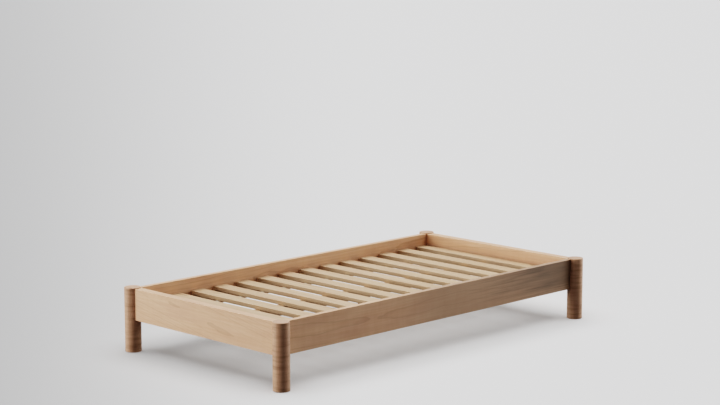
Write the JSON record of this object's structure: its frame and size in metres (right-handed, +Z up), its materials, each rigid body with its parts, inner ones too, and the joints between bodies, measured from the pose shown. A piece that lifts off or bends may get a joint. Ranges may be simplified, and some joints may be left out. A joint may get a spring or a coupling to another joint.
{
  "type": "platform bed frame",
  "caption": "Low wooden platform bed frame for a single mattress: round posts, coped rails, a slatted deck on ledgers and a centre beam, and a levelling centre leg.",
  "frame": {"origin": "on the floor, under the middle of the bed frame's footprint", "axes": "+Z up, +Y along the bed from the foot to the head, +X to the right of someone who looks towards the head"},
  "size_m": [1.099, 2.086, 0.308],
  "materials": {
    "frame_wood": "pale warm hardwood with a clear satin oil",
    "deck_wood": "planed softwood, untreated",
    "black_steel": "satin black powder coat",
    "zinc_steel": "zinc plated",
    "felt": "pressed felt",
    "webbing": "woven cotton tape",
    "foot_plastic": "moulded black plastic"
  },
  "bodies": {
    "frame": {"beam_hanger_foot": "black_steel", "beam_hanger_head": "black_steel", "bolt_nut_foot_left": "zinc_steel", "bolt_nut_foot_right": "zinc_steel", "bolt_nut_head_left": "zinc_steel", "bolt_nut_head_right": "zinc_steel", "centre_beam": "deck_wood", "centre_leg": "deck_wood", "corner_bracket_foot_left": "black_steel", "corner_bracket_foot_right": "black_steel", "corner_bracket_head_left": "black_steel", "corner_bracket_head_right": "black_steel", "floor_pad_foot_left": "felt", "floor_pad_foot_right": "felt", "floor_pad_head_left": "felt", "floor_pad_head_right": "felt", "foot_rail": "frame_wood", "hanger_bolt_foot_left": "zinc_steel", "hanger_bolt_foot_right": "zinc_steel", "hanger_bolt_head_left": "zinc_steel", "hanger_bolt_head_right": "zinc_steel", "head_rail": "frame_wood", "ledger_left": "deck_wood", "ledger_right": "deck_wood", "leg_insert": "zinc_steel", "leg_plate": "black_steel", "post_foot_left": "frame_wood", "post_foot_right": "frame_wood", "post_head_left": "frame_wood", "post_head_right": "frame_wood", "side_rail_left": "frame_wood", "side_rail_right": "frame_wood", "slat_01": "deck_wood", "slat_02": "deck_wood", "slat_03": "deck_wood", "slat_04": "deck_wood", "slat_05": "deck_wood", "slat_06": "deck_wood", "slat_07": "deck_wood", "slat_08": "deck_wood", "slat_09": "deck_wood", "slat_10": "deck_wood", "slat_11": "deck_wood", "slat_12": "deck_wood", "slat_13": "deck_wood", "slat_14": "deck_wood", "slat_screw_foot_left": "zinc_steel", "slat_screw_foot_right": "zinc_steel", "slat_screw_head_left": "zinc_steel", "slat_screw_head_right": "zinc_steel", "slat_strap_left": "webbing", "slat_strap_right": "webbing"},
    "leveller": {"leveller_foot": "foot_plastic", "leveller_stud": "zinc_steel", "leveller_nut": "zinc_steel"}
  },
  "joints": [
    {"name": "leveller_travel", "type": "slide", "parent": "frame", "child": "leveller", "axis": [0, 0, 1], "range_m": [0, 0.01]}
  ]
}
